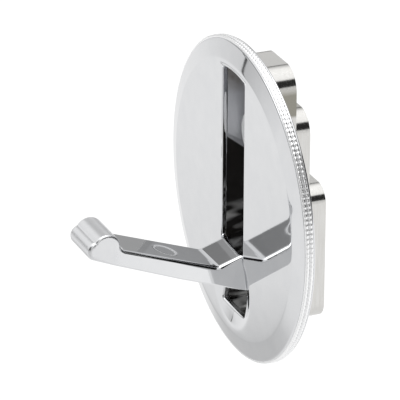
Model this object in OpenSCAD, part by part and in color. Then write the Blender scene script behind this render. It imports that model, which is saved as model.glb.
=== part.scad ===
// Retractable hook for a wardrobe or hall stand, set flush into a panel.
// A round chromed cover plate hides a mortised housing. The arm turns on a
// cross pin: pressing its tail into the finger dish swings the arm out, and
// pushing the arm up folds it flush with the plate again.
//
// Frame: millimetres, +Z up, the front looks along -Y. The origin is the
// centre of the plate on the panel's surface, so the plate lies at y < 0 and
// the housing reaches into the panel at y > 0. The arm is drawn swung out.

/* [Cover plate] */
// Outside diameter of the cover plate over the knurl
plate_d = 70; // [66:0.5:90]
// Diameter of the flat, polished front of the plate
flat_d = 60.8; // [60:0.1:64]
// Height of the plate above the panel
plate_h = 3.3; // [3:0.1:4.5]
// Height of the straight rim, from the panel to the bevel
rim_h = 2.2; // [2:0.05:2.4]
// Height of the plain foot behind the knurl, next to the panel
rim_foot = 0.35; // [0.2:0.05:0.5]
// Thickness of the plate's front wall
plate_wall = 1.2; // [0.9:0.1:1.4]
// Diameter of the hollow behind the plate
hollow_d = 62; // [60:0.5:63]
// Distance from one knurl tooth to the next
knurl_pitch = 1; // [0.8:0.1:1.6]
// Depth of the knurl's grooves
knurl_depth = 0.25; // [0.15:0.05:0.4]
// Width of the ledge between the bevel's foot and the knurl's grooves
rim_ledge = 0.1; // [0.05:0.05:0.3]
// Width of the key that lines the plate up with the housing
key_w = 4; // [3:0.5:6]
// Length of the key, inwards from the wall of the hollow
key_l = 1.6; // [1.2:0.1:2]

/* [Slot] */
// Width of the slot that the arm folds into
slot_w = 11.4; // [11.2:0.1:12.4]
// Height of the slot's top end above the centre
slot_top = 29; // [28:0.1:29.4]
// Depth of the slot's bottom end below the centre
slot_bottom = 25.6; // [25:0.1:26]
// Radius of the slot's corners
slot_corner_r = 0.85; // [0.5:0.05:1.5]

/* [Finger dish] */
// Depth of the dish's centre below the plate's centre
dish_drop = 19.3; // [18:0.1:20]
// Radius of the dish where it meets the plate's face
dish_r = 9.4; // [8.6:0.1:9.8]
// Depth of the dish below the plate's face
dish_depth = 1.7; // [1.2:0.05:1.9]

/* [Housing] */
// Width of the housing
housing_w = 16.9; // [16.5:0.1:20]
// Thickness of the fixing flange
flange_t = 2; // [1.8:0.05:2]
// Top of the upper step
upper_top = 30.7; // [30.4:0.1:31]
// Depth of the upper step into the panel
upper_depth = 7.35; // [7:0.05:8]
// Top of the middle step
middle_top = 20.6; // [20:0.1:21]
// Depth of the middle step into the panel
middle_depth = 10.6; // [10.2:0.1:11.4]
// Top of the lower step
lower_top = 3.2; // [2.2:0.1:3.6]
// Depth of the lower step into the panel
lower_depth = 14.5; // [14.2:0.1:16]
// Depth of the housing's lower end below the centre
lower_bottom = 27.3; // [27:0.1:28]
// Radius of the corners of the upper and middle steps
upper_corner_r = 5; // [3:0.5:6]
// Radius of the corners of the lower step
lower_corner_r = 4; // [3:0.5:5]
// Thickness of the walls beside the chamber
chamber_wall = 1.5; // [1.3:0.1:1.7]
// Height where the chamber's side walls step in to the slot's width
chamber_top = 13.9; // [12:0.1:15]
// Depth of the chamber's lower end below the centre
chamber_bottom = 23.3; // [22:0.1:24]
// Slope of that step, downwards into the panel
chamber_slope = 33.7; // [20:0.1:40]
// Thickness of the housing's back wall
back_wall = 1.6; // [1.3:0.1:1.8]
// Thickness of the back wall of the middle step, which holds the spring's screw
screw_wall = 2.4; // [2.2:0.1:2.8]

/* [Fixing holes] */
// Distance between the two fixing holes
fixing_span = 42; // [38:0.5:46]
// Diameter of the fixing holes, for 3 mm countersunk wood screws
fixing_hole_d = 3.4; // [3:0.1:3.6]
// Diameter of the countersinks
countersink_d = 5.8; // [5.6:0.1:6.2]

/* [Snap ring] */
// Diameter of the snap ring's wire
ring_wire_d = 1; // [0.8:0.1:1.1]
// Opening between the ring's ends, in degrees
ring_gap = 14; // [8:1:30]

/* [Hook arm] */
// Width of the arm
arm_w = 10.8; // [10.4:0.1:11]
// Thickness of the arm's bar
arm_t = 4; // [3.6:0.1:4.1]
// Radius of the long edges on the inside of the bar
arm_edge_r = 1; // [0.6:0.1:1.3]
// Angle that the arm turns between folded and swung out
swing = 70.3; // [66:0.1:70.3]
// Height of the centre of the lip's ridge when folded
ridge_z = 22.8; // [22:0.1:23.2]
// Depth of the centre of the lip's ridge behind the plate's face
ridge_depth = 3.65; // [3.5:0.05:3.8]
// Radius of the lip's ridge
ridge_r = 3.1; // [2.8:0.05:3.15]
// Radius of the hollow between the bar and the ridge
lip_fillet_r = 1.5; // [1:0.1:2.5]
// Height of the centre of the nose when folded
nose_z = 24.8; // [24.6:0.1:25.2]
// Radius of the nose at the arm's free end
nose_r = 2.05; // [1.9:0.05:2.2]
// Distance of the nose behind the plate's face, to which the bar tapers
nose_rise = 0.6; // [0.3:0.1:0.7]
// Height where that taper starts when folded
taper_z = 4; // [0:0.5:10]
// Radius of the hollow between the ridge and the nose
nose_fillet_r = 0.8; // [0.6:0.1:1.6]
// Reach of the tail from the pin's axis
tail_r = 9.6; // [9:0.1:9.6]
// Diameter of the round ejector mark on the inside of the bar
mark_d = 5; // [4:0.5:6]
// Height of the ejector mark when folded
mark_z = 6.9; // [5:0.1:10]
// Depth of the ejector mark
mark_depth = 0.12; // [0.08:0.01:0.2]

/* [Pivot] */
// Diameter of the pivot pin
pin_d = 3; // [2.5:0.1:3.4]
// Depth of the pin's axis behind the plate's face
pin_depth = 5.5; // [5.3:0.1:5.6]
// Depth of the pin's axis below the centre
pin_drop = 14.6; // [14.4:0.1:14.8]
// Radius of the hub's round back, which bends the leaf spring as it passes
hub_r = 5.3; // [5.2:0.05:5.4]
// Distance from the pin's axis to the two flats of the hub
hub_flat = 5.05; // [4.9:0.05:5.1]
// Tilt of the hub's upper flat above the horizontal when folded
flat_tilt = 31.7; // [29:0.1:33]
// Tilt of the web's inner face above the upper flat
web_tilt = 37.7; // [36:0.1:39]
// Length of the upper flat above its middle, up to the web
web_foot = 4.55; // [4.2:0.05:4.8]
// Distance of the pin's ends inside the housing's side faces
pin_inset = 0.2; // [0.1:0.05:0.4]
// Outside diameter of the spacer washers
spacer_d = 6.8; // [6:0.1:7]

/* [Leaf spring] */
// Thickness of the leaf spring
leaf_t = 0.4; // [0.3:0.05:0.5]
// Width of the leaf spring
leaf_w = 8; // [6:0.5:9]
// Gap between the leaf and the hub's round back
leaf_gap = 0.15; // [0.1:0.05:0.25]
// Reach of the leaf's straight end each way from where it meets the hub
leaf_reach = 3.2; // [2.5:0.1:3.5]
// Length of the leaf's foot on the housing
foot_l = 6.4; // [6:0.1:6.6]
// Height of the foot's lower end above the lower step's chamber
foot_rise = 1.2; // [0.9:0.1:1.3]
// Diameter of the spring screw's shank
screw_d = 2.5; // [2:0.1:2.6]
// Diameter of the spring screw's head
screw_head_d = 4.4; // [4:0.1:5]
// Height of the spring screw's head
screw_head_h = 1.4; // [1:0.1:1.8]
// Width of the cross recess in the screw's head
recess_w = 0.6; // [0.4:0.05:0.8]
// Depth of the cross recess in the screw's head
recess_depth = 0.7; // [0.4:0.05:0.8]
// Skin of the housing that is left behind the screw's hole
screw_skin = 0.2; // [0.15:0.05:0.4]

/* [Bumper] */
// Diameter of the bumper that the folded arm rests on
bumper_d = 8; // [6:0.5:9]
// Thickness of the bumper's head
bumper_t = 1.6; // [1.2:0.1:2]
// Height of the bumper above the centre
bumper_z = 14.2; // [13.8:0.1:14.4]
// Diameter of the bumper's stem
stem_d = 3; // [2.5:0.1:3.5]
// Length of the bumper's stem
stem_l = 3.4; // [3:0.1:4]
// Width of the housing's rim round the bumper's seat
boss_rim = 0.4; // [0.3:0.05:0.5]
// Gap between the folded arm and the bumper
bumper_gap = 0.3; // [0.2:0.05:0.4]

/* [Clearances] */
// Gap round the flange inside the plate's hollow
flange_gap = 0.2; // [0.1:0.05:0.3]
// Gap between the snap ring and its grooves
ring_gap_r = 0.05; // [0.03:0.01:0.08]
// Radial gap of the pin in the arm and the spacers
pin_gap = 0.05; // [0.03:0.01:0.08]
// Radial gap of the pin in the housing's walls
pin_seat_gap = 0.02; // [0.01:0.005:0.03]
// Gap at each face of the spacers
spacer_gap = 0.05; // [0.03:0.01:0.1]
// Gap between the tail and the housing's stop when swung out
stop_gap = 0.15; // [0.1:0.05:0.3]
// Radial gap round the bumper's stem
stem_gap = 0.1; // [0.05:0.01:0.15]
// Radial gap round the spring screw's thread
thread_gap = 0.03; // [0.02:0.01:0.06]
// Radial gap of the screw in the leaf, and at the screw's tip
leaf_hole_gap = 0.1; // [0.05:0.05:0.2]
// Distance between the leaf's end and the housing's stop
leaf_end_gap = 1.4; // [1:0.1:1.6]

/* [Hidden] */
$fn = 96;
// Overrun that makes each cut pass clean through
over = 1;
// Depth that joined shapes of one piece reach into each other
sink = 0.2;

plate_r = plate_d / 2;
bevel_r = plate_r - knurl_depth - rim_ledge;
flat_r = flat_d / 2;
hollow_r = hollow_d / 2;
face_y = -plate_h;
inner_face_y = face_y + plate_wall;
flange_r = hollow_r - flange_gap;
teeth = round(PI * plate_d / knurl_pitch);

// Finger dish: a sphere whose centre lies in front of the plate
dish_sphere_r = (dish_r * dish_r + dish_depth * dish_depth) / (2 * dish_depth);
dish_centre_y = face_y + dish_depth - dish_sphere_r;

// Places of the pin and of the hub's two flats, seen along X as [y, z]
pin_y = face_y + pin_depth;
pin_z = -pin_drop;
upper_normal = [cos(flat_tilt), sin(flat_tilt)];
upper_along = [sin(flat_tilt), -cos(flat_tilt)];
lower_tilt = flat_tilt - swing;
lower_normal = [cos(lower_tilt), sin(lower_tilt)];
lower_along = [sin(lower_tilt), -cos(lower_tilt)];

// Snap ring: its circle lies where the flange meets the wall of the hollow
ring_r = hollow_r - flange_gap / 2;
ring_y = -flange_t / 2;

arm_inner_y = face_y + arm_t;
// Top of the bar's rounded edges, just below the lip
edge_top = ridge_z - ridge_r - lip_fillet_r;

chamber_w = housing_w - 2 * chamber_wall;
spacer_t = (chamber_w - arm_w) / 2 - 2 * spacer_gap;
leaf_back_y = middle_depth - screw_wall;
foot_bottom = lower_top - back_wall + foot_rise;
screw_z = foot_bottom + foot_l / 2;
bumper_y = arm_inner_y + bumper_gap;
bumper_seat_y = bumper_y + bumper_t;
bumper_boss_r = bumper_d / 2 + boss_rim;

function along(p, t, s) = [p[0] + t[0] * s, p[1] + t[1] * s];
function hub_point(n, r, t, s) = along(along([pin_y, pin_z], n, r), t, s);
function side(a, b) = sqrt(a * a - b * b);
function cross_2d(u, v) = u[0] * v[1] - u[1] * v[0];
// Where the line through p along u meets the line through q along v
function meet(p, u, q, v) = p + u * (cross_2d(q - p, v) / cross_2d(u, v));
// Centre of the arc of radius r that rounds two circles' hollow on the side w
function hollow_centre(p, pr, q, qr, r, w) =
    let (v = q - p, d = norm(v), a = pr + r, b = qr + r,
         x = (d * d + a * a - b * b) / (2 * d), h = w * side(a, x))
    p + v * (x / d) + [-v[1], v[0]] * (h / d);

// Turns a flat outline drawn as [y, z] into a solid of the given width about x = 0
module across(width) {
    rotate([90, 0, 90])
        linear_extrude(height = width, center = true) children();
}

// Turns a flat outline drawn as [x, z] into a solid from y0 to y1
module into_panel(y0, y1) {
    translate([0, y1, 0]) rotate([90, 0, 0])
        linear_extrude(height = y1 - y0) children();
}

// Cylinder along Y
module bar_y(r, y0, y1) {
    translate([0, y1, 0]) rotate([90, 0, 0]) cylinder(r = r, h = y1 - y0);
}

// Turns a profile drawn as [radius, y] about the Y axis
module turned() {
    rotate([-90, 0, 0]) rotate_extrude() children();
}

// Half of the slot's outline: a strip up to the corners, an arc about the
// plate's centre and two round corners. up is 1 for the top, -1 for the bottom.
module slot_end(end_r, up) {
    corner_x = slot_w / 2 - slot_corner_r;
    corner_z = side(end_r - slot_corner_r, corner_x);
    scale_out = end_r / (end_r - slot_corner_r) * 1.1;
    mirror([0, up > 0 ? 0 : 1, 0]) {
        translate([-slot_w / 2, -0.01]) square([slot_w, corner_z + 0.01]);
        intersection() {
            circle(r = end_r);
            polygon([[0, 0], [corner_x, corner_z] * scale_out, [-corner_x, corner_z] * scale_out]);
        }
        for (s = [-1, 1])
            translate([s * corner_x, corner_z]) circle(r = slot_corner_r);
    }
}

module slot_outline() {
    slot_end(slot_top, 1);
    slot_end(slot_bottom, -1);
}

// The well behind the slot has its top end, and a square lower end for the tail
module well_outline() {
    slot_end(slot_top, 1);
    translate([-slot_w / 2, -slot_bottom - over]) square([slot_w, slot_bottom + over]);
}

module dish(extra) {
    translate([0, dish_centre_y, -dish_drop]) sphere(r = dish_sphere_r + extra, $fn = 180);
}

module key_outline(gap) {
    translate([-key_w / 2 - gap, -hollow_r - over])
        square([key_w + 2 * gap, over + key_l + gap]);
}

module snap_torus(extra) {
    turned() translate([ring_r, ring_y]) circle(d = ring_wire_d + 2 * extra, $fn = 24);
}

// Knurled rim on its plain foot: one V groove between each two teeth
module knurled_rim() {
    root_r = plate_r - knurl_depth;
    step = 180 / teeth;
    bar_y(bevel_r, -rim_foot - sink, 0);
    into_panel(-rim_h, -rim_foot)
        polygon([for (i = [0 : 2 * teeth - 1])
            let (r = i % 2 == 0 ? plate_r : root_r)
            [r * cos(i * step), r * sin(i * step)]]);
}

module rosette() color("gainsboro") difference() {
    union() {
        turned() polygon([[0, face_y], [flat_r, face_y], [bevel_r, -rim_h],
                          [bevel_r, -rim_h + sink], [0, -rim_h + sink]]);
        difference() {
            knurled_rim();
            bar_y(hollow_r, -rim_h - over, over);
        }
        // The dish is as thick as the rest of the front wall
        intersection() {
            dish(plate_wall);
            bar_y(hollow_r, face_y + plate_wall / 2, 0);
        }
        into_panel(inner_face_y - sink, 0) intersection() {
            key_outline(0);
            circle(r = hollow_r + sink);
        }
    }
    difference() {
        bar_y(hollow_r, inner_face_y, over);
        dish(plate_wall);
        into_panel(inner_face_y - over, over) key_outline(0);
    }
    dish(0);
    into_panel(face_y - over, over) slot_outline();
    snap_torus(ring_gap_r);
}

module snap_ring() color("silver") difference() {
    snap_torus(0);
    cut = 6 * ring_wire_d;
    translate([0, 0, hollow_r])
        cube([2 * hollow_r * sin(ring_gap / 2), cut, cut], center = true);
}

// Outline of a step of the housing, seen from the front: a block with round
// corners at the top, and at the bottom too where bottom_r is not 0
module step_outline(z0, z1, top_r, bottom_r) {
    half = housing_w / 2;
    translate([-half, z0 + bottom_r]) square([housing_w, z1 - z0 - top_r - bottom_r]);
    translate([-half + top_r, z1 - top_r - 0.01]) square([housing_w - 2 * top_r, top_r + 0.01]);
    for (s = [-1, 1])
        translate([s * (half - top_r), z1 - top_r]) circle(r = top_r);
    if (bottom_r > 0) {
        translate([-half + bottom_r, z0]) square([housing_w - 2 * bottom_r, bottom_r + 0.01]);
        for (s = [-1, 1])
            translate([s * (half - bottom_r), z0 + bottom_r]) circle(r = bottom_r);
    }
}

module housing_body() {
    bar_y(flange_r, -flange_t, 0);
    into_panel(-sink, upper_depth) step_outline(0, upper_top, upper_corner_r, 0);
    into_panel(-sink, middle_depth) step_outline(0, middle_top, upper_corner_r, 0);
    into_panel(-sink, lower_depth) step_outline(-lower_bottom, lower_top, lower_corner_r, lower_corner_r);
}

// Side view of the chamber, as [y, z]. It steps in where the slot's own
// width carries on upwards.
module chamber_side() {
    front = -flange_t - over;
    fall = tan(chamber_slope);
    polygon([[front, -chamber_bottom], [lower_depth - back_wall, -chamber_bottom],
             [lower_depth - back_wall, lower_top - back_wall],
             [leaf_back_y, lower_top - back_wall],
             [leaf_back_y, chamber_top - fall * (leaf_back_y - face_y)],
             [front, chamber_top - fall * (front - face_y)]]);
}

// Side view of the space behind the slot, at the slot's width
module well_side() {
    front = -flange_t - over;
    upper_back = upper_depth - back_wall;
    ledge = middle_top - back_wall;
    polygon([[front, -slot_bottom], [lower_depth - back_wall, -slot_bottom],
             [lower_depth - back_wall, lower_top - back_wall],
             [leaf_back_y, lower_top - back_wall], [leaf_back_y, ledge],
             [upper_back, ledge], [upper_back, slot_top + over], [front, slot_top + over]]);
}

// Stop that the tail meets when the arm is swung out, as [y, z]
module stop_side() {
    face_r = hub_flat + stop_gap;
    near = leaf_reach + leaf_end_gap;
    far = side(tail_r, hub_flat) + 2 * stop_gap;
    top = hub_point(upper_normal, face_r, upper_along, near);
    toe = hub_point(upper_normal, face_r, upper_along, far);
    back = lower_depth - back_wall + sink;
    polygon([top, toe, [back, toe[1]], [back, top[1] + (back - top[0])]]);
}

module housing() color("silver") difference() {
    union() {
        difference() {
            housing_body();
            across(chamber_w) chamber_side();
            intersection() {
                across(slot_w) well_side();
                into_panel(-flange_t - over, lower_depth) well_outline();
            }
        }
        across(chamber_w + 2 * sink) stop_side();
        translate([0, 0, bumper_z]) bar_y(bumper_boss_r, bumper_seat_y, leaf_back_y + sink);
    }
    dish(plate_wall + flange_gap);
    snap_torus(ring_gap_r);
    into_panel(-flange_t - over, 0) key_outline(flange_gap);
    for (s = [-1, 1]) translate([s * fixing_span / 2, 0, 0]) {
        bar_y(fixing_hole_d / 2, -flange_t - over, over);
        turned() polygon([[0, -flange_t - 0.01], [countersink_d / 2, -flange_t - 0.01],
                          [fixing_hole_d / 2, -flange_t + (countersink_d - fixing_hole_d) / 2],
                          [0, -flange_t + (countersink_d - fixing_hole_d) / 2]]);
    }
    translate([0, pin_y, pin_z]) rotate([0, 90, 0])
        cylinder(r = pin_d / 2 + pin_seat_gap, h = housing_w + 2 * over, center = true);
    translate([0, 0, bumper_z])
        bar_y(stem_d / 2 + stem_gap, bumper_seat_y - over, bumper_seat_y + stem_l + stem_gap);
    translate([0, 0, screw_z])
        bar_y(screw_d / 2 + thread_gap, leaf_back_y - over, middle_depth - screw_skin);
}

module pivot_pin() color("silver") {
    pin_l = housing_w - 2 * pin_inset;
    bevel = pin_d / 10;
    translate([0, pin_y, pin_z]) rotate([0, 90, 0]) rotate_extrude()
        polygon([[0, -pin_l / 2], [pin_d / 2 - bevel, -pin_l / 2], [pin_d / 2, -pin_l / 2 + bevel],
                 [pin_d / 2, pin_l / 2 - bevel], [pin_d / 2 - bevel, pin_l / 2], [0, pin_l / 2]]);
}

// Washer on the pin, from the arm's side face out to the chamber's wall
module spacer(s) {
    middle = s * (arm_w / 2 + spacer_gap + spacer_t / 2);
    translate([middle, pin_y, pin_z]) rotate([0, 90, 0]) difference() {
        cylinder(d = spacer_d, h = spacer_t, center = true);
        cylinder(r = pin_d / 2 + pin_gap, h = spacer_t + 2 * over, center = true);
    }
}

module spacer_left() color("ivory") spacer(-1);

module spacer_right() color("ivory") spacer(1);

// Everything on the pin's side of one of the hub's flats, as [y, z]
module behind_flat(n, t) {
    far = 2 * slot_top;
    polygon([hub_point(n, hub_flat, t, -far), hub_point(n, hub_flat, t, far),
             hub_point(n, -far, t, far), hub_point(n, -far, t, -far)]);
}

// Upper end of the upper flat, where the web's inner face starts, and the
// bend, where that face meets the bar's
function web_start() = hub_point(upper_normal, hub_flat, upper_along, -web_foot);
function bend() = meet(web_start(), [-sin(web_tilt), cos(web_tilt)], [arm_inner_y, 0], [0, 1]);

// Side views of the folded arm's stretches, as [y, z]
module bar_side() {
    polygon([[face_y, pin_z], [face_y, taper_z], [face_y + nose_rise, nose_z],
             [arm_inner_y, nose_z - nose_r], [arm_inner_y, pin_z]]);
}

// Web from the bar's bend to the hub. It starts inside the bar.
module web_side() {
    start = arm_t / 2 / sin(web_tilt);
    polygon([[face_y, pin_z], along(bend(), [-sin(web_tilt), cos(web_tilt)], start), web_start(),
             hub_point(upper_normal, hub_flat, upper_along, 0), [pin_y, pin_z]]);
}

module hub_side() {
    intersection() {
        translate([pin_y, pin_z]) circle(r = hub_r);
        behind_flat(upper_normal, upper_along);
        behind_flat(lower_normal, lower_along);
    }
}

module tail_side() {
    intersection() {
        translate([pin_y, pin_z]) circle(r = tail_r);
        polygon([[face_y, pin_z + over], [pin_y, pin_z + over], [pin_y, pin_z],
                 hub_point(lower_normal, hub_flat, lower_along, 0),
                 hub_point(lower_normal, hub_flat, lower_along, tail_r),
                 [face_y, pin_z - tail_r - over]]);
    }
}

// Hollow between a round of radius r about p and what it rises from: the
// polygon p, a, b less the round of radius hollow_r about c
module hollow_side(corners, c, hollow_r) {
    difference() {
        polygon(corners);
        translate(c) circle(r = hollow_r);
    }
}

// Lip: the ridge, the nose and the two hollows beside the ridge
module lip_side() {
    ridge = [face_y + ridge_depth, ridge_z];
    nose = [face_y + nose_rise + nose_r, nose_z];
    foot_c = [arm_inner_y + lip_fillet_r,
              ridge_z - side(ridge_r + lip_fillet_r, arm_inner_y + lip_fillet_r - ridge[0])];
    dip_c = hollow_centre(ridge, ridge_r, nose, nose_r, nose_fillet_r, -1);
    translate(ridge) circle(r = ridge_r);
    translate(nose) circle(r = nose_r);
    hollow_side([[arm_inner_y - 1, foot_c[1]], [arm_inner_y, foot_c[1]],
                 ridge + (foot_c - ridge) * (ridge_r / (ridge_r + lip_fillet_r)), ridge],
                foot_c, lip_fillet_r);
    hollow_side([ridge, ridge + (dip_c - ridge) * (ridge_r / (ridge_r + nose_fillet_r)),
                 nose + (dip_c - nose) * (nose_r / (nose_r + nose_fillet_r)), nose],
                dip_c, nose_fillet_r);
}

// What rounds the two long inner edges of the bar or the web. The edges start
// at the point p, as [y, z], and lean by tilt from upright.
module edge_cutters(p, tilt, length) {
    for (turn = [0, 90])
        translate([turn > 0 ? arm_w / 2 : -arm_w / 2, p[0], p[1]])
            rotate([tilt, 0, 0]) rotate([0, 0, -90 - turn]) edge_cutter(length);
}

// What is taken off a square edge that runs up from the origin along x = y = 0
module edge_cutter(length) {
    difference() {
        translate([-over, -over, 0]) cube([arm_edge_r + over, arm_edge_r + over, length]);
        translate([arm_edge_r, arm_edge_r, -over])
            cylinder(r = arm_edge_r, h = length + 2 * over, $fn = 48);
    }
}

module folded_arm() {
    foot = hub_point(upper_normal, hub_flat, upper_along, 0);
    difference() {
        union() {
            difference() {
                across(arm_w) bar_side();
                edge_cutters([arm_inner_y, pin_z - over], 0, edge_top - pin_z + over);
            }
            difference() {
                across(arm_w) web_side();
                edge_cutters(foot, flat_tilt, web_foot + arm_t);
                edge_cutters(web_start(), web_tilt, norm(bend() - web_start()) + arm_t);
            }
            across(arm_w) hub_side();
            across(arm_w) tail_side();
            across(arm_w) lip_side();
        }
        dish(0);
        translate([0, pin_y, pin_z]) rotate([0, 90, 0])
            cylinder(r = pin_d / 2 + pin_gap, h = arm_w + 2 * over, center = true);
        translate([0, 0, mark_z]) bar_y(mark_d / 2, arm_inner_y - mark_depth, arm_inner_y + over);
    }
}

module hook_arm() color("silver")
    translate([0, pin_y, pin_z]) rotate([swing, 0, 0]) translate([0, -pin_y, -pin_z])
        folded_arm();

// Bent strip: its foot lies on the back of the middle step, and its straight
// end lies along the hub's flat, where it holds the arm in or out
module leaf_spring() color("lightsteelblue") {
    near_r = hub_r + leaf_gap;
    far_r = near_r + leaf_t;
    front_y = leaf_back_y - leaf_t;
    heel = [front_y, foot_bottom];
    knee = hub_point(upper_normal, near_r, upper_along, -leaf_reach);
    shank = (knee - heel) / norm(knee - heel);
    shank_back = heel + [-shank[1], shank[0]] * leaf_t;
    end_back = hub_point(upper_normal, far_r, upper_along, leaf_reach);
    difference() {
        across(leaf_w) polygon([[front_y, foot_bottom + foot_l], heel, knee,
            hub_point(upper_normal, near_r, upper_along, leaf_reach), end_back,
            meet(shank_back, shank, end_back, upper_along),
            meet(shank_back, shank, [leaf_back_y, 0], [0, 1]),
            [leaf_back_y, foot_bottom + foot_l]]);
        translate([0, 0, screw_z]) bar_y(screw_d / 2 + leaf_hole_gap, front_y - over, leaf_back_y + over);
    }
}

module spring_screw() color("silver") translate([0, 0, screw_z]) {
    seat = leaf_back_y - leaf_t;
    recess_l = 0.6 * screw_head_d;
    difference() {
        union() {
            bar_y(screw_head_d / 2, seat - screw_head_h, seat);
            bar_y(screw_d / 2, seat - sink, middle_depth - screw_skin - leaf_hole_gap);
        }
        for (a = [0, 90]) rotate([0, a, 0])
            translate([-recess_l / 2, seat - screw_head_h - over, -recess_w / 2])
                cube([recess_l, over + recess_depth, recess_w]);
    }
}

module closing_bumper() color("whitesmoke") translate([0, 0, bumper_z]) {
    bar_y(bumper_d / 2, bumper_y, bumper_seat_y);
    bar_y(stem_d / 2, bumper_seat_y - sink, bumper_seat_y + stem_l);
}

rosette();
snap_ring();
housing();
pivot_pin();
spacer_left();
spacer_right();
hook_arm();
leaf_spring();
spring_screw();
closing_bumper();
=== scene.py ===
import math

import bmesh
import bpy
import numpy as np
from mathutils import Matrix, Vector
from mathutils.geometry import tessellate_polygon


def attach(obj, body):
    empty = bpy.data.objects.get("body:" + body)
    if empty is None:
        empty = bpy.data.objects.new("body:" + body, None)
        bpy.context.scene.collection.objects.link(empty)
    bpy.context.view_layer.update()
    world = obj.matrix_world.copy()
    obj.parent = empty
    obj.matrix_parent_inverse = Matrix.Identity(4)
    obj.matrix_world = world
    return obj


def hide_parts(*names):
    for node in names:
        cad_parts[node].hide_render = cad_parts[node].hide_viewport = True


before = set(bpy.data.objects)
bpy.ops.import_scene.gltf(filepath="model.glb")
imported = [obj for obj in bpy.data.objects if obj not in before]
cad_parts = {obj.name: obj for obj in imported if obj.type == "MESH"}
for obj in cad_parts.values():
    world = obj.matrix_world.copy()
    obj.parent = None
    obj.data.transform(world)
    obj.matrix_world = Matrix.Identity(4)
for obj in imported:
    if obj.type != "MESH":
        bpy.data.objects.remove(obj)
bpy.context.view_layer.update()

# Cover plate
# A zinc casting with a bright chrome plating, polished flat in front with a
# shallow bevel. The slot for the arm and the finger dish are cast in. It snaps
# over the housing's flange from the front.
plate_face, plate_wall, bevel_foot = -3.3, 1.2, -2.2
flat_r, bevel_r, hollow_r, foot_r = 30.4, 34.4, 31.0, 34.65
neck_r, neck_front, neck_back, foot_width = 34.2, -1.9, -0.5, 2.15
slot_half, slot_top, slot_bottom, slot_corner, slot_rounding = 5.7, 29.0, 25.6, 0.85, 0.35
dish_z, dish_r, dish_depth, dish_rim = -19.3, 9.4, 1.7, 0.12
groove_y, groove_r, groove_inset = -1.0, 0.55, 0.1
key_half, key_z = 2.0, -29.4


def closed_mesh(name, grid):
    """Mesh of a surface given in millimetres as grid[i, j, xyz]: each point is joined
    to its neighbours in i and in j, and the last row and column join the first."""
    rows, columns = grid.shape[:2]
    i, j = np.meshgrid(np.arange(rows), np.arange(columns), indexing="ij")
    down, right = (i + 1) % rows, (j + 1) % columns
    quads = np.stack([i * columns + j, down * columns + j, down * columns + right,
                      i * columns + right], -1)
    mesh = bpy.data.meshes.new(name)
    mesh.from_pydata(grid.reshape(-1, 3) * 0.001, [], quads.reshape(-1, 4))
    mesh.shade_smooth()
    return mesh


def add_piece(name, mesh, body, material, *nodes):
    """Puts a finished mesh into the scene as a piece that rides on a body."""
    piece = bpy.data.objects.new(name, mesh)
    bpy.context.scene.collection.objects.link(piece)
    mesh.materials.append(material)
    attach(piece, body)
    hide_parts(*nodes)
    return piece


def slot_edge(straight, corner, end):
    """Points (x, z) and outward normals round the slot: two straight sides, four
    corner arcs, and two end arcs about the plate's centre."""
    points, normals = [], []
    for sign, top in ((1, slot_top), (-1, slot_bottom)):
        cx = slot_half - slot_corner
        cz = math.sqrt((top - slot_corner) ** 2 - cx ** 2)
        other = slot_bottom if sign > 0 else slot_top
        start = -math.sqrt((other - slot_corner) ** 2 - cx ** 2)
        lean = math.atan2(cz, cx)
        z = np.linspace(start, cz, straight, endpoint=False)
        turn = np.linspace(0, lean, corner, endpoint=False)
        arc = np.linspace(lean, math.pi - lean, end, endpoint=False)
        back = np.linspace(math.pi - lean, math.pi, corner, endpoint=False)
        x = np.concatenate([np.full(straight, slot_half), cx + slot_corner * np.cos(turn),
                            top * np.cos(arc), -cx + slot_corner * np.cos(back)])
        z = np.concatenate([z, cz + slot_corner * np.sin(turn), top * np.sin(arc),
                            cz + slot_corner * np.sin(back)])
        a = np.concatenate([np.zeros(straight), turn, arc, back])
        points.append(np.stack([x, z], 1) * sign)
        normals.append(np.stack([np.cos(a), np.sin(a)], 1) * sign)
    return np.concatenate(points), np.concatenate(normals)


def soft_step(height, blend):
    """Height where it is above nought and nought below, with a round change-over:
    half of the height plus the root of height squared plus blend squared."""
    return 0.5 * (height + np.sqrt(height ** 2 + blend ** 2))


def dish_at(x, z, extra=0.0):
    """Depth of the finger dish below the plate's face: a sphere whose rim is eased. Its
    radius, larger by extra for the dish's back, follows from the dish's width and depth."""
    sphere = (dish_r ** 2 + dish_depth ** 2) / (2 * dish_depth)
    square = np.minimum(x ** 2 + (z - dish_z) ** 2, (1.6 * dish_r) ** 2)
    return soft_step(np.sqrt((sphere + extra) ** 2 - square) - sphere + dish_depth, dish_rim)


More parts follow.
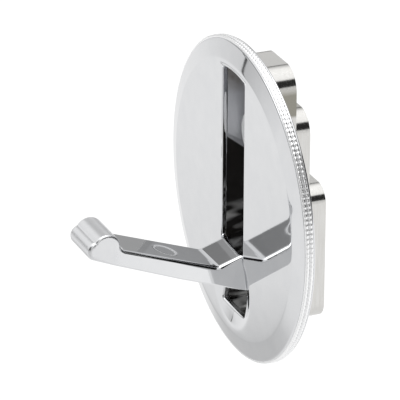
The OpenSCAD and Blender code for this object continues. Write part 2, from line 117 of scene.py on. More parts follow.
def plate_grid():
    """Surface of the plate as one ring. Columns follow the slot's edge. Rows go from
    the slot's wall over its rounded edge, along straight lines to the circles of the
    bevel, round the rim, across the back, up the hollow with the snap ring's groove,
    and along the hollow's ceiling to the slot's wall again."""
    edge, out = slot_edge(straight=118, corner=8, end=26)
    steps = np.linalg.norm(np.roll(edge, -1, 0) - edge, axis=1)
    even = np.concatenate([[0], np.cumsum(steps)[:-1]]) / steps.sum() * 2 * np.pi
    ray = np.unwrap(np.arctan2(edge[:, 1], edge[:, 0]))
    even += (ray - even).mean()
    angle = (ray + even) / 2
    circle = np.stack([np.cos(angle), np.sin(angle)], 1)
    rows = []

    def row(flat, y, dished=0.0):
        """Adds points over flat (x, z) at depth y, sunk by that share of the dish."""
        x, z = flat.T
        rows.append(np.stack([x, y + dished * dish_at(x, z), z], 1))

    for turn in np.linspace(0, math.pi / 2, 6):
        row(edge + out * slot_rounding * (1 - math.cos(turn)),
            plate_face + slot_rounding * (1 - math.sin(turn)), 1)
    inner, margin = edge + out * slot_rounding, 1.2
    for t in np.linspace(0, 1, 56)[1:]:
        t = 0.75 * t + 0.25 * t * t
        row(inner * (1 - t) + circle * (flat_r - margin) * t, plate_face, 1)
    slope, crease = (plate_face - bevel_foot) / (flat_r - foot_r), 0.05
    near_crease = [-0.5, -0.25, *np.linspace(-0.12, 0.12, 7), 0.25, 0.5]
    for r in [flat_r + off for off in near_crease] + list(np.linspace(flat_r + margin, bevel_r, 7)):
        row(circle * r, plate_face + soft_step(slope * (r - flat_r), crease), 1)
    bevel_end = plate_face + slope * (bevel_r - flat_r)
    for r, y in ((bevel_r + 0.05, bevel_end + 0.04), (bevel_r + 0.06, neck_front - 0.1),
                 (neck_r, neck_front), (neck_r, neck_back), (foot_r - 0.05, -0.37), (foot_r, -0.3),
                 (foot_r, -0.05), (foot_r - 0.05, 0), (foot_r - foot_width, 0)):
        row(circle * r, y)
    key = (np.abs(circle[:, 0] * hollow_r) < key_half) & (circle[:, 1] < 0)
    wall_r = np.where(key, key_z / np.minimum(circle[:, 1], -0.5), hollow_r)[:, None]
    for y in (0, -0.44, -0.5, -0.6, -0.8, -1.0, -1.2, -1.4, -1.5, -1.56, -2.1):
        groove = max(groove_r ** 2 - (y - groove_y) ** 2, 0) ** 0.5 - groove_inset
        row(circle * (wall_r + max(groove, 0)), y)
    ceiling = plate_face + plate_wall
    for t in np.linspace(0, 1, 18)[1:]:
        flat = circle * wall_r * (1 - t) + edge * t
        row(flat, np.maximum(ceiling, plate_face + dish_at(*flat.T, plate_wall)))
    low = rows[-1][:, 1]
    high = plate_face + slot_rounding + dish_at(*edge.T)
    for share in (0.3, 0.65):
        row(edge, low * (1 - share) + high * share)
    return np.stack(rows)


def add_node(tree, kind, inputs=(), **settings):
    """New node. Each key of inputs is a socket, and its value is a number or an output."""
    made = tree.nodes.new(kind)
    for key, value in settings.items():
        setattr(made, key, value)
    for key, value in dict(inputs).items():
        if isinstance(value, bpy.types.NodeSocket):
            tree.links.new(value, made.inputs[key])
        else:
            made.inputs[key].default_value = value
    return made


def share_of(tree, value, start, full, **settings):
    """Share that is nought where the value is at start, and one where it is at full."""
    return add_node(tree, "ShaderNodeMapRange",
                    {"Value": value, "From Min": start, "From Max": full}, **settings).outputs[0]


def vector_of(tree, operation, *values):
    """Result of a step with vectors: its number where the step ends in one."""
    made = add_node(tree, "ShaderNodeVectorMath", dict(enumerate(values)), operation=operation)
    return made.outputs["Value" if operation in ("DOT_PRODUCT", "LENGTH") else "Vector"]


def surface_grain_group():
    """Noise on Object coordinates, drawn out along the axes that Stretch makes small.
    Tone is the noise, Roughness goes from Smoothest to Roughest with it, and Normal
    is the slope of a relief of that height in metres."""
    group = bpy.data.node_groups.new("surface_grain", "ShaderNodeTree")
    for name, kind in (("Stretch", "Vector"), ("Scale", "Float"), ("Smoothest", "Float"),
                       ("Roughest", "Float"), ("Relief", "Float")):
        group.interface.new_socket(name, in_out="INPUT", socket_type="NodeSocket" + kind)
    for name, kind in (("Tone", "Float"), ("Roughness", "Float"), ("Normal", "Vector")):
        group.interface.new_socket(name, in_out="OUTPUT", socket_type="NodeSocket" + kind)
    given = add_node(group, "NodeGroupInput").outputs
    put_out = add_node(group, "NodeGroupOutput").inputs
    place = add_node(group, "ShaderNodeTexCoord").outputs["Object"]
    noise = add_node(group, "ShaderNodeTexNoise",
                     {"Vector": vector_of(group, "MULTIPLY", place, given["Stretch"]),
                      "Scale": given["Scale"], "Detail": 4.0, "Roughness": 0.6}).outputs["Fac"]
    tone = share_of(group, noise, 0.3, 0.7)
    rough = add_node(group, "ShaderNodeMapRange",
                     {"Value": tone, "To Min": given["Smoothest"], "To Max": given["Roughest"]})
    bump = add_node(group, "ShaderNodeBump", {"Height": noise, "Distance": given["Relief"]})
    group.links.new(tone, put_out["Tone"])
    group.links.new(rough.outputs[0], put_out["Roughness"])
    group.links.new(bump.outputs[0], put_out["Normal"])
    return group


surface_grain = surface_grain_group()


def finish_of(name, dark, light, metallic, scale, smoothest, roughest, relief, stretch=(1, 1, 1)):
    """Material whose colour goes from dark to light with the tone of the surface grain,
    which also gives its roughness and a relief in metres."""
    made = bpy.data.materials.new(name)
    made.use_nodes = True
    tree = made.node_tree
    grain = add_node(tree, "ShaderNodeGroup", node_tree=surface_grain)
    for key, value in (("Stretch", stretch), ("Scale", scale), ("Smoothest", smoothest),
                       ("Roughest", roughest), ("Relief", relief)):
        grain.inputs[key].default_value = value
    colour = add_node(tree, "ShaderNodeValToRGB", {"Fac": grain.outputs["Tone"]})
    colour.color_ramp.elements[0].color = (*dark, 1)
    colour.color_ramp.elements[1].color = (*light, 1)
    shader = tree.nodes["Principled BSDF"]
    shader.inputs["Metallic"].default_value = metallic
    tree.links.new(colour.outputs["Color"], shader.inputs["Base Color"])
    tree.links.new(grain.outputs["Roughness"], shader.inputs["Roughness"])
    tree.links.new(grain.outputs["Normal"], shader.inputs["Normal"])
    return made


chrome = finish_of("chrome", (0.72, 0.727, 0.74), (0.75, 0.755, 0.765), metallic=1.0,
                   scale=260, smoothest=0.03, roughest=0.06, relief=4e-6)
cover_plate = add_piece("cover_plate", closed_mesh("cover_plate", plate_grid()), "base", chrome,
                        "rosette")

# Knurled rim
# The plate's rim, rolled with two rows of small beads and a fine groove between
# them, for a grip when the plate is pressed on or pulled off.
teeth, rim_r, rim_root, rim_inner = 220, 35.0, 34.5, 34.0
bead_rows, saddle = ((-2.16, -1.29), (-1.24, -0.37)), 0.72


def knurl_grid():
    """Ring with radius root + height. Across a row of beads the height is the sine of
    the turn to the power 0.8. Along the row it goes from the saddle's share to the
    whole with the size of the cosine of half the tooth's angle to the power 0.9."""
    angle = np.arange(4 * teeth) * (2 * np.pi / (4 * teeth))
    bead = saddle + (1 - saddle) * np.abs(np.cos(angle * teeth / 2)) ** 0.9
    rows = []
    for low, high in bead_rows:
        for turn in np.linspace(0, np.pi, 7):
            y = (low + high) / 2 - (high - low) / 2 * math.cos(turn)
            rows.append((rim_root + (rim_r - rim_root) * math.sin(turn) ** 0.8 * bead, y))
    rows += [(rim_inner + 0 * bead, -0.6), (rim_inner + 0 * bead, -1.95)]
    return np.stack([np.stack([r * np.cos(angle), y + 0 * angle, r * np.sin(angle)], 1)
                     for r, y in rows])


# Painted brightness: the rim's chrome has a lighter colour than the plate's, though both are one
# plating.
brightened_chrome = finish_of("brightened_chrome", (0.96, 0.965, 0.97), (0.99, 0.99, 0.995),
                          metallic=0.9, scale=2600, smoothest=0.26, roughest=0.32, relief=3e-6)
knurled_rim = add_piece("knurled_rim", closed_mesh("knurled_rim", knurl_grid()), "base",
                        brightened_chrome, "rosette")

# Hook arm
# One zinc casting with its lip, nose, hub and tail, polished and chromed, and
# satin on the lip. All its long edges are rounded. An ejector pin has left a
# shallow round mark on the inside of the bar.
pin_y, pin_z, pin_hole_r, swing = 2.2, -14.6, 1.55, 70.3
arm_half, bar_in, bend_z = 5.4, 0.7, -3.669
mark_z, mark_r, mark_wall, mark_depth = 6.9, 2.65, 0.35, 0.06
taper, taper_from, taper_to, taper_y = 0.029, 4, 20, -2.84
nose_y, nose_z, nose_r, nose_from, dip_r = -0.65, 24.8, 2.05, 178.3, 0.8
ridge_y, ridge_z, ridge_r, lip_foot_r = 0.35, 22.8, 3.1, 1.5
hub_r, hub_flat, flat_half, flat_gap, flat_tilt = 5.3, 5.05, 1.609, 20.67, 31.7
web_foot, heel_reach, tail_r, toe_angle = 4.55, 8.165, 9.6, -124.95
side_step, dished_from, dished_to, hole_sides = 0.04, -28.8, -9.4, 48


def corner(before, at, after, r, edge):
    """Arc of radius r that rounds the corner of an outline travelled clockwise. A
    left turn is hollow, which is kept as a negative radius."""
    before, at, after = (complex(*p) for p in (before, at, after))
    d1, d2 = (at - before) / abs(at - before), (after - at) / abs(after - at)
    turn = math.atan2((d2 / d1).imag, (d2 / d1).real)
    side = 1j if turn > 0 else -1j
    centre = at - d1 * r * math.tan(abs(turn) / 2) + d1 * side * r
    first = math.degrees(math.atan2((-d1 * side).imag, (-d1 * side).real))
    return centre.real, centre.imag, -r if turn > 0 else r, first, first + math.degrees(turn), edge


def outline_of(arcs, step):
    """Closed outline of arcs (y, z, radius, first angle, last angle, edge rounding)
    joined by straight lines: its points, outward normals and edge roundings."""
    points, normals, edges = [], [], []
    for y, z, r, first, last, edge in arcs:
        count = max(3, int(abs(r * math.radians(last - first)) / (step * 0.5)) + 2)
        a = np.radians(np.linspace(first, last, count))
        way = np.stack([np.cos(a), np.sin(a)], 1)
        points.append(np.array([y, z]) + abs(r) * way)
        normals.append(way * np.sign(r))
        edges.append(np.full(count, edge))
    out = [[], [], []]
    for k in range(len(arcs)):
        n = (k + 1) % len(arcs)
        gap = np.linalg.norm(points[n][0] - points[k][-1])
        t = np.linspace(0, 1, max(2, int(gap / step) + 1))[1:-1, None]
        out[0] += [points[k], points[k][-1] * (1 - t) + points[n][0] * t]
        out[1] += [normals[k], normals[k][-1] * (1 - t) + normals[n][0] * t]
        out[2] += [edges[k], edges[k][-1] * (1 - t[:, 0]) + edges[n][0] * t[:, 0]]
    points, normals, edges = (np.concatenate(o) for o in out)
    return points, normals / np.linalg.norm(normals, axis=1)[:, None], edges


def turned_out(points):
    """Turns points (x, y, z) of the folded arm about the pin to where it stands out."""
    y, z = points[..., 1] - pin_y, points[..., 2] - pin_z
    c, s = math.cos(math.radians(swing)), math.sin(math.radians(swing))
    return np.stack([points[..., 0], pin_y + y * c - z * s, pin_z + y * s + z * c], -1)


def arm_outline():
    """Side view of the folded arm, from the tail's toe up the outside of the bar,
    round the nose and the lip, and down the inside by the web and the hub. Nose, dip
    and ridge are arcs that touch, so the dip's centre is where the two circles about
    the others' centres cross. The hub has a flat for the spring at either limit."""
    nose, ridge = np.array([nose_y, nose_z]), np.array([ridge_y, ridge_z])
    between = nose - ridge
    far = np.linalg.norm(between)
    along = (far ** 2 + (ridge_r + dip_r) ** 2 - (nose_r + dip_r) ** 2) / (2 * far)
    up = math.sqrt((ridge_r + dip_r) ** 2 - along ** 2)
    dip = ridge + between / far * along + np.array([between[1], -between[0]]) / far * up
    foot_y = bar_in + lip_foot_r
    drop = math.sqrt((ridge_r + lip_foot_r) ** 2 - (foot_y - ridge_y) ** 2)
    foot = np.array([foot_y, ridge_z - drop])

    def bearing(a, b):
        """Angle of the way from a to b in degrees."""
        return math.degrees(math.atan2(*(b - a)[::-1]))

    def hub(angle, r):
        """Point at an angle and a radius about the pin."""
        turn = math.radians(angle)
        return np.array([pin_y + r * math.cos(turn), pin_z + r * math.sin(turn)])

    def down_along(angle):
        """Way down a flat: its normal at that angle, turned back a right angle."""
        turn = math.radians(angle)
        return np.array([math.sin(turn), -math.cos(turn)])

    upper, lower = flat_tilt, flat_tilt - swing
    web = hub(upper, hub_flat) - down_along(upper) * web_foot
    bend = np.array([bar_in, bend_z])
    flat_end = hub(upper, hub_flat) + down_along(upper) * flat_half
    flat_start = hub(lower, hub_flat) - down_along(lower) * flat_half
    heel = hub(lower, hub_flat) + down_along(lower) * heel_reach
    toe, toe_side = hub(toe_angle, tail_r), np.array([0.8192, -0.5736])
    return outline_of([
        corner(toe + toe_side, toe, toe + np.array([0, 1.0]), 0.4, 0.35),
        corner((plate_face, taper_from - 1), (plate_face, taper_from),
               (plate_face + taper, taper_from + 1), 20, 0.35),
        (taper_y + 1.0, taper_to, 1.0, 182.0, nose_from, 0.4),
        (*nose, nose_r, nose_from, bearing(nose, dip), 0.9),
        (*dip, -dip_r, bearing(dip, nose), bearing(dip, ridge), 0.7),
        (*ridge, ridge_r, bearing(ridge, dip), bearing(ridge, foot), 0.6),
        (*foot, -lip_foot_r, bearing(foot, ridge), 180, 0.75),
        corner((bar_in, 0), bend, web, 1.8, 0.8),
        corner(bend, web, flat_end, 3.0, 0.75),
        corner(web, flat_end, hub(upper - flat_gap, hub_r), 0.5, 0.3),
        (pin_y, pin_z, hub_r, upper - flat_gap, lower + flat_gap, 0.3),
        corner(hub(lower + flat_gap, hub_r), flat_start, heel, 0.5, 0.3),
        corner(flat_start, heel, hub(-101, tail_r), 0.4, 0.35),
        (pin_y, pin_z, tail_r, -101, -121, 0.35)], 0.3)


def ring_faces(rows, columns, first=0):
    """Faces between the rows of a grid of points that closes along its rows, where
    the grid's points are numbered on from the first."""
    i, j = np.meshgrid(np.arange(rows - 1), np.arange(columns), indexing="ij")
    here, right = first + i * columns + j, first + i * columns + (j + 1) % columns
    return np.stack([here, right, right + columns, here + columns], -1).reshape(-1, 4).tolist()


def merged_mesh(name, points, faces):
    """Mesh of points in millimetres and faces, with what coincides merged, normals
    turned outwards, and edges of more than 40 degrees kept sharp."""
    mesh = bpy.data.meshes.new(name)
    mesh.from_pydata(points * 0.001, [], faces)
    form = bmesh.new()
    form.from_mesh(mesh)
    bmesh.ops.remove_doubles(form, verts=form.verts, dist=3e-6)
    bmesh.ops.recalc_face_normals(form, faces=form.faces)
    form.to_mesh(mesh)
    form.free()
    mesh.shade_smooth()
    mesh.set_sharp_from_angle(angle=math.radians(40))
    return mesh


def arm_mesh():
    """Outline carried across the arm's width. Towards each side the outline moves
    inwards by edge * (1 - cos a) while x moves outwards by edge * sin a, so the
    edges are quarter rounds. One more row, side_step inwards, keeps their shading off
    the flat sides, which have the pin's hole through them. The mark is sunk into the
    bar, and the outside gives way to the plate's dish."""
    flat, normal, edge = arm_outline()
    turns = np.radians(np.linspace(0, 90, 8))
    rows = [(-arm_half + edge * (1 - math.sin(a)), edge * (1 - math.cos(a))) for a in turns[::-1]]
    rows += [((arm_half - edge) * t, 0 * edge) for t in np.linspace(-1, 1, 37)[1:-1]]
    rows += [(arm_half - edge * (1 - math.sin(a)), edge * (1 - math.cos(a))) for a in turns]
    left, right = rows[0], rows[-1]
    rows = [(left[0], left[1] + side_step), *rows, (right[0], right[1] + side_step)]
    grid = np.stack([np.concatenate([x[:, None], flat - normal * inward[:, None]], 1)
                     for x, inward in rows])
    from_mark = np.hypot(grid[..., 0], grid[..., 2] - mark_z)
    on_bar = grid[..., 1] > bar_in - 0.01
    grid[..., 1] -= on_bar * mark_depth * np.clip((mark_r - from_mark) / mark_wall, 0, 1)
    dished = (grid[..., 2] > dished_from) & (grid[..., 2] < dished_to)
    dish_y = plate_face + dish_at(grid[..., 0], grid[..., 2])
    grid[..., 1] = np.where(dished, np.maximum(grid[..., 1], dish_y), grid[..., 1])
    count, n = grid.shape[:2]
    a = np.arange(hole_sides) * (2 * np.pi / hole_sides)
    hole = np.stack([pin_y + pin_hole_r * np.cos(a), pin_z + pin_hole_r * np.sin(a)], 1)
    rims = [np.insert(hole, 0, x, axis=1) for x in (-arm_half, arm_half)]
    start = count * n
    faces = ring_faces(count, n) + ring_faces(2, hole_sides, start)
    for row, rim in ((0, start), (count - 1, start + hole_sides)):
        index = np.concatenate([row * n + np.arange(n), rim + np.arange(hole_sides)])
        side = tessellate_polygon([grid[row, :, 1:].tolist(), hole.tolist()])
        faces += index[np.array(side)].tolist()
    return merged_mesh("arm", turned_out(np.concatenate([grid.reshape(-1, 3), *rims])), faces)


def worked_out(tree, operation, *values):
    """Result of a step with numbers."""
    return add_node(tree, "ShaderNodeMath", dict(enumerate(values)), operation=operation).outputs[0]


def arm_finish():
    """Chrome that is satin on the lip, with a fine matt groove round the ejector
    mark. The distance from the mark's axis is the length of the cross product of the
    way to the place and the bar's upward normal."""
    groove_r, groove_half, reach_below, matt = 0.0024, 0.00018, 0.001, 0.5
    satin_from, satin_to, satin = -0.028, -0.032, 0.3
    made = chrome.copy()
    made.name = "arm_chrome"
    tree = made.node_tree
    shader = tree.nodes["Principled BSDF"]
    polished = shader.inputs["Roughness"].links[0].from_socket
    middle, over = turned_out(np.array([[0, bar_in, mark_z], [0, bar_in + 1, mark_z]]))
    upward = tuple(over - middle)
    place = add_node(tree, "ShaderNodeTexCoord").outputs["Object"]
    way = vector_of(tree, "SUBTRACT", place, tuple(middle * 0.001))
    radius = vector_of(tree, "LENGTH", vector_of(tree, "CROSS_PRODUCT", way, upward))
    height = vector_of(tree, "DOT_PRODUCT", way, upward)
    on_ring = worked_out(tree, "COMPARE", radius, groove_r, groove_half)
    on_bar = worked_out(tree, "GREATER_THAN", height, -reach_below)
    groove = worked_out(tree, "MULTIPLY", on_ring, on_bar)
    grooved = add_node(tree, "ShaderNodeMapRange",
                       {"Value": groove, "To Min": polished, "To Max": matt})
    out = add_node(tree, "ShaderNodeSeparateXYZ", {0: place}).outputs["Y"]
    lip = add_node(tree, "ShaderNodeMapRange",
                   {"Value": out, "From Min": satin_from, "From Max": satin_to, "To Max": satin})
    rougher = worked_out(tree, "MAXIMUM", grooved.outputs[0], lip.outputs[0])
    tree.links.new(rougher, shader.inputs["Roughness"])
    return made


arm = add_piece("arm_casting", arm_mesh(), "arm", arm_finish(), "hook_arm")

# Housing
# One zinc casting: three stepped lobes behind a round flange, with back edges that
# the die has rounded. It is plated over the cast skin, outside brighter than
# inside, whose lower part is painted black as shade, with painted highlights.
lobes = ((-27.3, 3.2, 14.5, 4.0), (3.2, 20.6, 10.6, 5.0), (20.6, 30.7, 7.35, 5.0))
housing_half, flange_r, flange_front, back_edge, probe = 8.45, 30.8, -2, 0.7, 0.3


def outside_of_lobes(p):
    """Whether points p[..., xyz] in millimetres lie outside the flange and the lobes. A
    lobe is given by its foot, top, back and corner radius. Its corners are round at
    the top, and the lowest one's at the bottom too."""
    x, y, z = np.abs(p[..., 0]), p[..., 1], p[..., 2]
    inside = (y > flange_front) & (y < 0) & (np.hypot(x, z) < flange_r)
    for low, high, back, r in lobes:
        dx, dz = x - (housing_half - r), z - (high - r)
        if low < 0:
            dz = np.maximum(dz, low + r - z)
        cut = (dx > 0) & (dz > 0) & (np.hypot(dx, dz) > r)
        inside |= (y >= 0) & (y < back) & (x < housing_half) & (z > low) & (z < high) & ~cut
    return ~inside


def housing_mesh():
    """Merged copy of the solid, with round edges on its backs. A face gets the second
    material where the place a probe's length in front of it lies within the lobes."""
    form = bmesh.new()
    form.from_mesh(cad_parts["housing"].data)
    bmesh.ops.remove_doubles(form, verts=form.verts, dist=2e-6)
    bmesh.ops.dissolve_limit(form, angle_limit=math.radians(0.3), verts=form.verts,
                             edges=form.edges)
    backs = []
    for e in form.edges:
        y = [v.co.y * 1000 for v in e.verts]
        on_back = any(abs(y[0] - lobe[2]) < 0.01 and abs(y[1] - lobe[2]) < 0.01 for lobe in lobes)
        if on_back and len(e.link_faces) == 2 and e.is_convex:
            if sum(f.normal.y > 0.99 for f in e.link_faces) == 1:
                backs.append(e)
    bmesh.ops.bevel(form, geom=backs, offset=back_edge * 0.001, segments=4, profile=0.5,
                    affect="EDGES", clamp_overlap=True)
    bmesh.ops.remove_doubles(form, verts=form.verts, dist=2e-6)
    mesh = bpy.data.meshes.new("housing_casting")
    form.to_mesh(mesh)
    form.free()
    centre, normal = np.empty(len(mesh.polygons) * 3), np.empty(len(mesh.polygons) * 3)
    mesh.polygons.foreach_get("center", centre)
    mesh.polygons.foreach_get("normal", normal)
    in_front = centre.reshape(-1, 3) * 1000 + normal.reshape(-1, 3) * probe
    flange_back = (np.abs(centre[1::3]) < 1e-5) & (normal[1::3] > 0.9)
    looks_in = ~outside_of_lobes(in_front) & ~flange_back
    mesh.polygons.foreach_set("material_index", looks_in.astype(np.int32))
    mesh.shade_smooth()
    mesh.set_sharp_from_angle(angle=math.radians(32))
    return mesh


def mixed(tree, share, first, second, **settings):
    """Colour that goes from the first to the second with the share."""
    return add_node(tree, "ShaderNodeMix", {0: share, 6: first, 7: second},
                    data_type="RGBA", **settings).outputs[2]


def plated_casting():
    """Plating with the drawn-out grain of the cast skin. In a band round the top
    lobe's side its colour is darker and browner."""
    lower_fade, upper_fade, dark_band_colour = (0.0203, 0.021), (0.0275, 0.0255), (0.27, 0.26, 0.225, 1)
    made = finish_of("plated_casting", (0.6, 0.59, 0.57), (0.67, 0.665, 0.65), metallic=1.0,
                     scale=3200, smoothest=0.1, roughest=0.2, relief=3e-6, stretch=(1, 1, 0.05))
    tree = made.node_tree
    colour = tree.nodes["Principled BSDF"].inputs["Base Color"]
    skin = colour.links[0].from_socket
    place = add_node(tree, "ShaderNodeTexCoord").outputs["Object"]
    height = add_node(tree, "ShaderNodeSeparateXYZ", {0: place}).outputs["Z"]
    dark_band = worked_out(tree, "MULTIPLY", share_of(tree, height, *lower_fade),
                      share_of(tree, height, *upper_fade))
    tree.links.new(mixed(tree, dark_band, skin, dark_band_colour), colour)
    return made


def casting_inside():
    """Dull skin, brown in spots near the top. Below a plane that slopes down to the back
    it is painted black for the shade deep in the chamber, and glossy, with painted
    highlights in bright spots near the bottom."""
    brown, shade_black, glint_grey = (0.16, 0.12, 0.08, 1), (0.045, 0.042, 0.04, 1), (0.85, 0.85, 0.84, 1)
    brown_fade, glint_fade, shade_fade = (0.0215, 0.0255), (-0.003, -0.0055), (0.0106, 0.0102)
    made = finish_of("casting_inside", (0.6, 0.61, 0.64), (0.7, 0.71, 0.74), metallic=0.45,
                     scale=300, smoothest=0.42, roughest=0.5, relief=4e-6, stretch=(1, 1, 0.3))
    tree = made.node_tree
    shader = tree.nodes["Principled BSDF"]
    skin = shader.inputs["Base Color"].links[0].from_socket
    grain_roughness = shader.inputs["Roughness"].links[0].from_socket
    place = add_node(tree, "ShaderNodeTexCoord").outputs["Object"]
    height = add_node(tree, "ShaderNodeSeparateXYZ", {0: place}).outputs["Z"]
    # Brown in noisy spots above a height near the top.
    spots = add_node(tree, "ShaderNodeTexNoise", {"Vector": place, "Scale": 420.0, "Detail": 3.0})
    brown_spots = worked_out(tree, "MULTIPLY", share_of(tree, height, *brown_fade),
                      spots.outputs["Fac"])
    browned = mixed(tree, brown_spots, skin, brown)
    # Painted highlights: bright spots near the bottom of the chamber.
    drawn = vector_of(tree, "MULTIPLY", place, (1.0, 0.35, 1.0))
    glint_noise = add_node(tree, "ShaderNodeTexNoise", {"Vector": drawn, "Scale": 420.0, "Detail": 1.0})
    glints = worked_out(tree, "MULTIPLY", share_of(tree, height, *glint_fade),
                        share_of(tree, glint_noise.outputs["Fac"], 0.42, 0.6))
    # Painted shade in black, with painted highlights in bright spots near the bottom.
    shade_and_glints = mixed(tree, glints, shade_black, glint_grey)
    # Painted shade: below a plane that slopes down to the back the wall is black.
    over_slope = vector_of(tree, "DOT_PRODUCT", place, (0.0, 0.79, 1.0))
    shaded = share_of(tree, over_slope, *shade_fade)
    tree.links.new(mixed(tree, shaded, browned, shade_and_glints), shader.inputs["Base Color"])
    smooth_below = add_node(tree, "ShaderNodeMapRange", {"Value": shaded, "To Min": grain_roughness, "To Max": 0.08})
    tree.links.new(smooth_below.outputs[0], shader.inputs["Roughness"])
    return made


casting = add_piece("housing_casting", housing_mesh(), "base", plated_casting(), "housing")
casting.data.materials.append(casting_inside())
weighted = casting.modifiers.new("even_shading", "WEIGHTED_NORMAL")
weighted.keep_sharp = True

# Snap ring
# A split ring of drawn spring wire. It snaps from the flange's groove into the
# plate's, and holds the plate on.


def refinish(name, material):
    """Gives a solid of the model its finish."""
    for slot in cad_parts[name].material_slots:
        slot.material = material


drawn_wire = finish_of("drawn_wire", (0.42, 0.42, 0.43), (0.6, 0.6, 0.61), metallic=1.0,
                       scale=2400, smoothest=0.2, roughest=0.34, relief=6e-6,
                       stretch=(0.15, 1, 0.15))
refinish("snap_ring", drawn_wire)

# Pivot pin
# Steel wire cut to length and ground. The grinding leaves fine rings about the
# pin's length.
ground = finish_of("ground_steel", (0.5, 0.5, 0.51), (0.66, 0.66, 0.67), metallic=1.0,
                   scale=3000, smoothest=0.16, roughest=0.28, relief=4e-6,
                   stretch=(1, 0.03, 0.03))
refinish("pivot_pin", ground)

# Spacers
# Two moulded nylon washers on the pin, one each side of the arm. They are matt
# and a little yellow.
nylon = finish_of("nylon", (0.72, 0.7, 0.64), (0.82, 0.8, 0.74), metallic=0.0,
                  scale=1800, smoothest=0.42, roughest=0.6, relief=1.5e-5)
for spacer in ("spacer_left", "spacer_right"):
    refinish(spacer, nylon)

# Leaf spring
# Hardened steel strip, bent twice. The rolled grain runs along the strip, and
# tempering has left it grey.
tempered = finish_of("tempered_strip", (0.24, 0.24, 0.26), (0.4, 0.4, 0.42), metallic=1.0,
                     scale=2800, smoothest=0.24, roughest=0.4, relief=5e-6,
                     stretch=(1, 0.04, 0.04))
refinish("leaf_spring", tempered)

# Spring screw
# Small zinc-plated steel screw. It holds the foot of the spring in the casting.
zinc_plate = finish_of("zinc_plate", (0.5, 0.51, 0.54), (0.68, 0.69, 0.71), metallic=1.0,
                       scale=2200, smoothest=0.26, roughest=0.42, relief=8e-6)
refinish("spring_screw", zinc_plate)

# Closing bumper
# Moulded silicone stud, milky and matt, that stops the folded arm. Its round pad
# has a rounded edge, and its stem is pressed into the seat in the casting.
pad_z, pad_r, pad_face, pad_back, pad_edge, pad_flat = 14.2, 5.2, 0.82, 2.6, 0.5, 4.5
stem_r, stem_end, pad_sides = 1.5, 6.0, 63


def pad_mesh():
    """Profile turned about the stud's axis. It goes from the middle of the pad's face
    over its flat to its edge, which is a quarter round, down the side, in to the stem
    and along the stem to the middle of its end."""
    turn = np.radians(np.linspace(0, 90, 5))
    r = np.array([0, pad_flat, *(pad_r - pad_edge * (1 - np.sin(turn))),
                  pad_r, stem_r, stem_r, 0])[:, None]
    y = np.array([pad_face, pad_face, *(pad_face + pad_edge * (1 - np.cos(turn))),
                  pad_back, pad_back, stem_end, stem_end])[:, None]
    angle = np.arange(pad_sides) * (2 * np.pi / pad_sides)
    grid = np.stack([r * np.cos(angle), y + 0 * angle, pad_z + r * np.sin(angle)], -1)
    return merged_mesh("closing_pad", grid.reshape(-1, 3), ring_faces(len(r), pad_sides))


silicone = finish_of("silicone", (0.84, 0.85, 0.86), (0.9, 0.91, 0.92), metallic=0.0,
                     scale=1500, smoothest=0.38, roughest=0.52, relief=1.2e-5)
pad = add_piece("closing_pad", pad_mesh(), "base", silicone, "closing_bumper")

# Studio
# A white paper floor, a pale room on the left, a dark one on the right with a
# white card at its front, and a soft box overhead. The camera stands 0.83 m away.
bpy.context.scene.view_settings.view_transform = "Standard"
azimuth, elevation, roll = math.radians(66.77), math.radians(23.9), math.radians(0.29)
look_at, distance = Vector((-0.01707, -0.0033, -0.00685)), 0.827
toward_camera = Vector((math.sin(azimuth) * math.cos(elevation),
                        -math.cos(azimuth) * math.cos(elevation), math.sin(elevation)))
camera = bpy.data.objects.new("camera", bpy.data.cameras.new("camera"))
camera.data.lens = 347.6
camera.data.sensor_width = 36
camera.data.clip_start, camera.data.clip_end = 0.05, 100
camera.location = look_at + toward_camera * distance
camera.rotation_euler = ((-toward_camera).to_track_quat("-Z", "Y").to_matrix()
                         @ Matrix.Rotation(roll, 3, "Z")).to_euler()
bpy.context.scene.collection.objects.link(camera)
bpy.context.scene.camera = camera

world = bpy.data.worlds.new("studio")
world.use_nodes = True
bpy.context.scene.world = world
tree = world.node_tree
direction = add_node(tree, "ShaderNodeTexCoord").outputs["Generated"]
across, depth, rise = add_node(tree, "ShaderNodeSeparateXYZ", {0: direction}).outputs


def grey_ramp(tree, value, lowest, highest, stops):
    """Greys over a value between lowest and highest. Each stop is a value and its grey."""
    ramp = add_node(tree, "ShaderNodeValToRGB", {"Fac": share_of(tree, value, lowest, highest)})
    while len(ramp.color_ramp.elements) < len(stops):
        ramp.color_ramp.elements.new(0.5)
    for element, (at, grey) in zip(ramp.color_ramp.elements, stops):
        element.position = (at - lowest) / (highest - lowest)
        element.color = (grey, grey, grey, 1)
    return ramp.outputs["Color"]


# Each wall's greys go by the sine of the height above the horizon. COMPARE is one
# where the depth is as near to the first number as the second one says.
left = grey_ramp(tree, rise, 0, 1, (
    (0.0, 0.38), (0.12, 0.4), (0.28, 0.86), (0.41, 0.86), (0.5, 0.46), (0.53, 0.2), (0.57, 0.3),
    (0.62, 0.62), (0.85, 1.4)))
front = grey_ramp(tree, rise, 0, 1, (
    (0.0, 0.38), (0.085, 0.38), (0.12, 0.6), (0.2, 1.0), (0.6, 1.0), (0.85, 1.4)))
dark_wall = grey_ramp(tree, rise, 0, 1, (
    (0.0, 1.0), (0.02, 1.0), (0.04, 0.01), (0.72, 0.01), (0.78, 1.4)))
low_card = grey_ramp(tree, rise, 0, 1, (
    (0.0, 1.0), (0.2, 1.0), (0.25, 0.03), (0.68, 0.03), (0.73, 1.4)))
to_the_right = share_of(tree, across, -0.25, 0.25, interpolation_type="SMOOTHSTEP")
to_the_front = share_of(tree, depth, 0.0, -0.2, interpolation_type="SMOOTHSTEP")
at_low_card = worked_out(tree, "COMPARE", depth, 0.37, 0.08)
at_white_card = worked_out(tree, "COMPARE", depth, -0.31, 0.23)
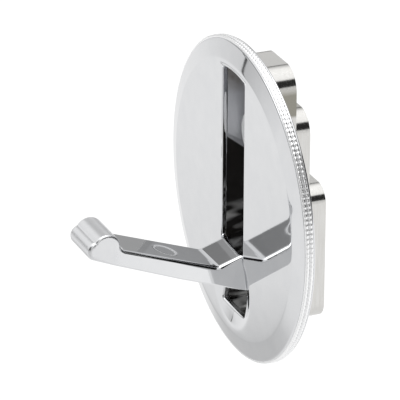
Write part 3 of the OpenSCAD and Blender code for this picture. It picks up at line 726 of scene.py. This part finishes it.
right = mixed(tree, at_white_card, mixed(tree, at_low_card, dark_wall, low_card), front)
room = mixed(tree, to_the_right, mixed(tree, to_the_front, left, front), right)
tree.links.new(room, tree.nodes["Background"].inputs["Color"])

floor_mesh = bpy.data.meshes.new("floor")
side, floor_z = 15.0, -0.25
floor_mesh.from_pydata([(-side, -side, floor_z), (side, -side, floor_z), (side, side, floor_z),
                        (-side, side, floor_z)], [], [(0, 1, 2, 3)])
floor = bpy.data.objects.new("floor", floor_mesh)
bpy.context.scene.collection.objects.link(floor)
paper = bpy.data.materials.new("white_floor")
paper.use_nodes = True
tree = paper.node_tree
surface = tree.nodes["Principled BSDF"]
surface.inputs["Base Color"].default_value = (0.2, 0.2, 0.2, 1)
surface.inputs["Roughness"].default_value = 1.0
surface.inputs["Specular IOR Level"].default_value = 0.0
place = add_node(tree, "ShaderNodeTexCoord").outputs["Object"]
across, depth = add_node(tree, "ShaderNodeSeparateXYZ", {0: place}).outputs[:2]

# What the chrome mirrors of the paper on the left: a painted soft shadow about a spot
# near the hook, dimmest at its middle, and further out greys by the bearing from the hook, with a
# dark seam in them.
shadow_centre = (-0.31, -0.12, floor_z)
from_shadow_centre = vector_of(tree, "LENGTH", vector_of(tree, "SUBTRACT", place, shadow_centre))
painted_shadow = grey_ramp(tree, from_shadow_centre, 0.0, 0.5, (
    (0.08, 0.64), (0.12, 0.72), (0.145, 0.85), (0.17, 0.93), (0.22, 0.95), (0.3, 0.985)))
seam = grey_ramp(tree, worked_out(tree, "ARCTAN2", depth, across), -3.0, -2.0, (
    (-2.735, 0.9), (-2.6, 0.86), (-2.545, 0.84), (-2.54, 0.15), (-2.528, 0.15), (-2.523, 0.67),
    (-2.47, 0.72), (-2.35, 0.88), (-2.25, 0.99)))
far_out = share_of(tree, vector_of(tree, "LENGTH", place), 1.1, 1.6)
paper_left = mixed(tree, far_out, painted_shadow, seam)
paper_right = add_node(tree, "ShaderNodeMapRange",
                       {"Value": depth, "From Min": -0.2, "From Max": 0.2, "To Min": 0.76,
                        "To Max": 1.1}).outputs[0]
mirrored = mixed(tree, share_of(tree, across, -0.1, 0.1), paper_left, paper_right)
own_light = mixed(tree, 1.0, mirrored, (0.23, 0.23, 0.23, 1), blend_type="SUBTRACT")
by_camera = add_node(tree, "ShaderNodeLightPath").outputs["Is Camera Ray"]
tree.links.new(mixed(tree, by_camera, own_light, (0.88, 0.88, 0.88, 1)),
               surface.inputs["Emission Color"])
surface.inputs["Emission Strength"].default_value = 1.0
floor_mesh.materials.append(paper)

lamp = bpy.data.lights.new("overhead_box", "AREA")
lamp.shape = "DISK"
lamp.size = 0.9
lamp.energy = 4
overhead = bpy.data.objects.new("overhead_box", lamp)
overhead.location = (0, 0, 1.4)
bpy.context.scene.collection.objects.link(overhead)
